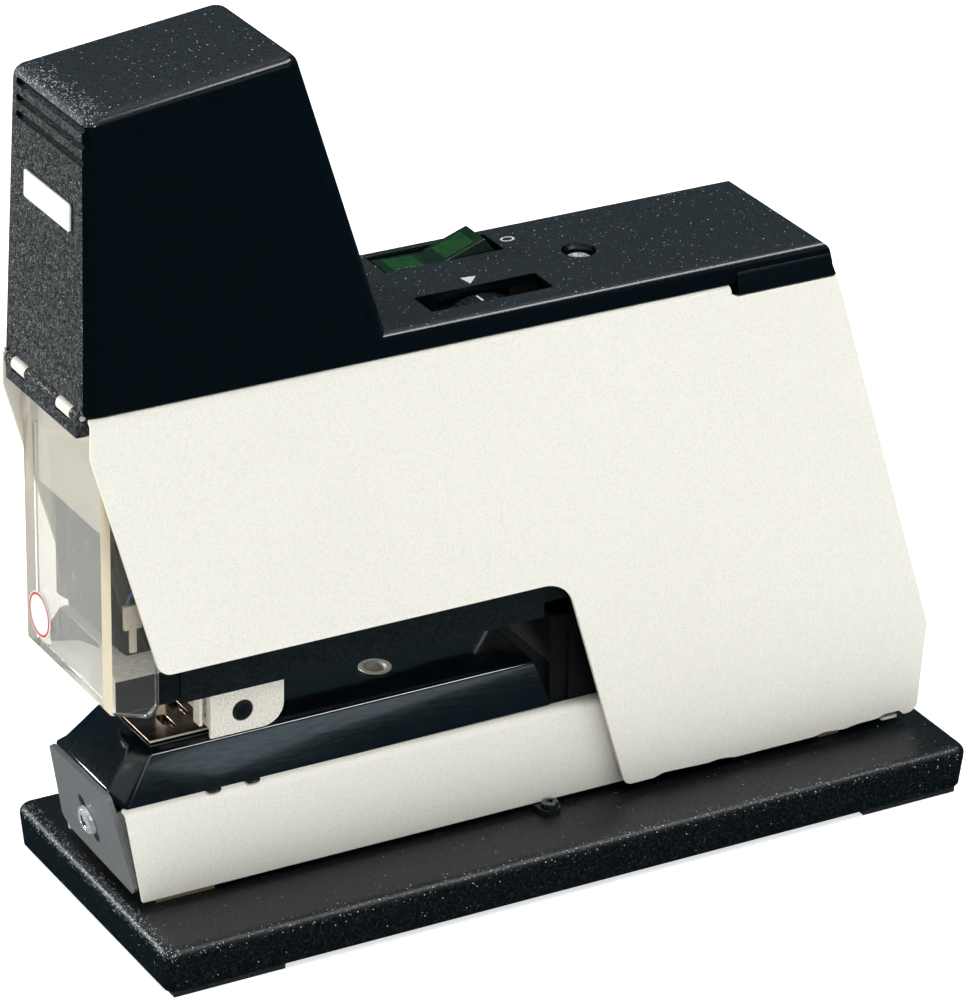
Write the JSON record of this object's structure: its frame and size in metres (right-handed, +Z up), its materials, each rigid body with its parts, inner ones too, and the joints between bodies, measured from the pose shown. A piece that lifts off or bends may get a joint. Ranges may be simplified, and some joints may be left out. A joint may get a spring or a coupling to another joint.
{
  "type": "electric stapler",
  "caption": "Electric stapler: weighted base, long open paper throat over a lower arm, cream steel body, black tower and deck with rocker switch and thumbwheel, clear hinged finger guard.",
  "frame": {"origin": "middle of the footprint box, on the surface the rubber feet stand on", "axes": "+Z up; -Y is the front, the stapling end that paper is fed to; +X is the side with the thumbwheel"},
  "size_m": [0.0836, 0.2316, 0.2197],
  "materials": {
    "cream_paint": "fine-textured cream powder coat, folded edges softly bright",
    "black_cover": "black moulded plastic, smooth sides, fine sparkling grain on top, leather grain on the front",
    "black_parts": "black moulded plastic, satin",
    "gloss_enamel": "black enamel, glossy",
    "wrinkle_black": "black wrinkle finish with small bright sparkles",
    "black_steel": "black paint on folded steel",
    "rear_black": "black paint, satin",
    "satin_grey": "dark satin plate",
    "zinc": "bright zinc plate",
    "nickel": "warm nickel plate",
    "anvil_nickel": "polished warm nickel",
    "bright_steel": "bright steel",
    "copper_winding": "enamelled copper winding",
    "foot_rubber": "matt black rubber",
    "fibre_pad": "tan pressed fibre",
    "clear_guard": "clear acrylic with amber edges",
    "green_lens": "translucent dark green",
    "white_film": "white",
    "board_green": "green circuit board",
    "capacitor_blue": "blue sleeve",
    "pusher_plastic": "black moulded plastic"
  },
  "bodies": {
    "frame": {"arm_panel_right": "cream_paint", "arm_panel_left": "cream_paint", "side_panel_right": "cream_paint", "side_panel_left": "cream_paint", "front_plate": "cream_paint", "top_cover": "black_cover", "switch_body": "black_parts", "head_housing": "black_parts", "interlock_switch": "black_parts", "arm_cover": "gloss_enamel", "base_plate": "wrinkle_black", "arm_frame": "black_steel", "inner_frame_right": "black_steel", "inner_frame_left": "black_steel", "rear_panel": "rear_black", "end_plate": "satin_grey", "base_screw_right": "zinc", "base_screw_left": "zinc", "end_plate_screw": "zinc", "deck_screw": "zinc", "cover_bracket": "zinc", "hinge_pin": "zinc", "magazine_pivot": "zinc", "solenoid_yoke": "zinc", "cover_eyelet": "nickel", "terminal_lug": "nickel", "anvil_plate": "anvil_nickel", "return_spring": "bright_steel", "force_potentiometer": "bright_steel", "solenoid_coil": "copper_winding", "rubber_foot_front_right": "foot_rubber", "rubber_foot_front_left": "foot_rubber", "rubber_foot_rear_right": "foot_rubber", "rubber_foot_rear_left": "foot_rubber", "cord_gland": "foot_rubber", "front_spacer_pad": "fibre_pad", "rear_spacer_pad": "fibre_pad", "name_badge": "white_film", "circuit_board": "board_green", "capacitor": "capacitor_blue"},
    "guard": {"guard_carrier": "black_parts", "guard_shell": "clear_guard", "warning_disc": "white_film"},
    "interlock": {"interlock_pin": "white_film"},
    "rocker": {"rocker_button": "green_lens"},
    "wheel": {"thumbwheel": "black_parts"},
    "plunger": {"plunger": "bright_steel"},
    "magazine": {"magazine_housing": "black_steel", "magazine_nose": "black_steel", "staple_rail": "bright_steel", "staple_strip": "bright_steel"},
    "driver": {"driver_blade": "bright_steel"},
    "pusher": {"staple_pusher": "pusher_plastic", "pusher_spring": "bright_steel"},
    "stop": {"paper_stop": "nickel", "stop_knob": "black_parts"},
    "trigger": {"trigger_lever": "nickel"}
  },
  "joints": [
    {"name": "guard_hinge", "type": "hinge", "parent": "frame", "child": "guard", "pos_m": [0, -0.114, 0.1419], "axis": [-1, 0, 0], "range_deg": [0, 100], "stiffness_Nm_per_rad": 0.004, "springref_deg": -45.84},
    {"name": "interlock_slide", "type": "slide", "parent": "frame", "child": "interlock", "axis": [0, -1, 0], "range_m": [0, 0.0021]},
    {"name": "rocker_hinge", "type": "hinge", "parent": "frame", "child": "rocker", "pos_m": [-0.0137, -0.0069, 0.144], "axis": [-1, 0, 0], "range_deg": [0, 20]},
    {"name": "wheel_hinge", "type": "hinge", "parent": "frame", "child": "wheel", "pos_m": [0.0113, -0.0077, 0.1325], "axis": [1, 0, 0], "range_deg": [-135, 135]},
    {"name": "plunger_slide", "type": "slide", "parent": "frame", "child": "plunger", "axis": [0, 0, -1], "range_m": [0, 0.0175], "stiffness_N_per_m": 400, "springref_m": -0.012, "deforming": ["return_spring"]},
    {"name": "magazine_hinge", "type": "hinge", "parent": "frame", "child": "magazine", "pos_m": [0, 0.023, 0.072], "axis": [1, 0, 0], "range_deg": [0, 5.25]},
    {"name": "driver_slide", "type": "slide", "parent": "magazine", "child": "driver", "axis": [0, 0, -1], "range_m": [0, 0.0082]},
    {"name": "pusher_slide", "type": "slide", "parent": "magazine", "child": "pusher", "axis": [0, 1, 0], "range_m": [0, 0.018], "stiffness_N_per_m": 40, "springref_m": -0.06},
    {"name": "stop_slide", "type": "slide", "parent": "frame", "child": "stop", "axis": [0, 1, 0], "range_m": [0, 0.033]},
    {"name": "trigger_hinge", "type": "hinge", "parent": "stop", "child": "trigger", "pos_m": [0.0112, -0.0822, 0.0622], "axis": [1, 0, 0], "range_deg": [0, 7], "stiffness_Nm_per_rad": 0.0004, "springref_deg": -28.65}
  ],
  "couplings": [
    {"joint": "interlock_slide", "follows": "guard_hinge", "m_per_rad": 0.0011459},
    {"joint": "magazine_hinge", "follows": "plunger_slide", "rad_per_m": 5.1861},
    {"joint": "driver_slide", "follows": "plunger_slide", "ratio": 0.45714}
  ]
}
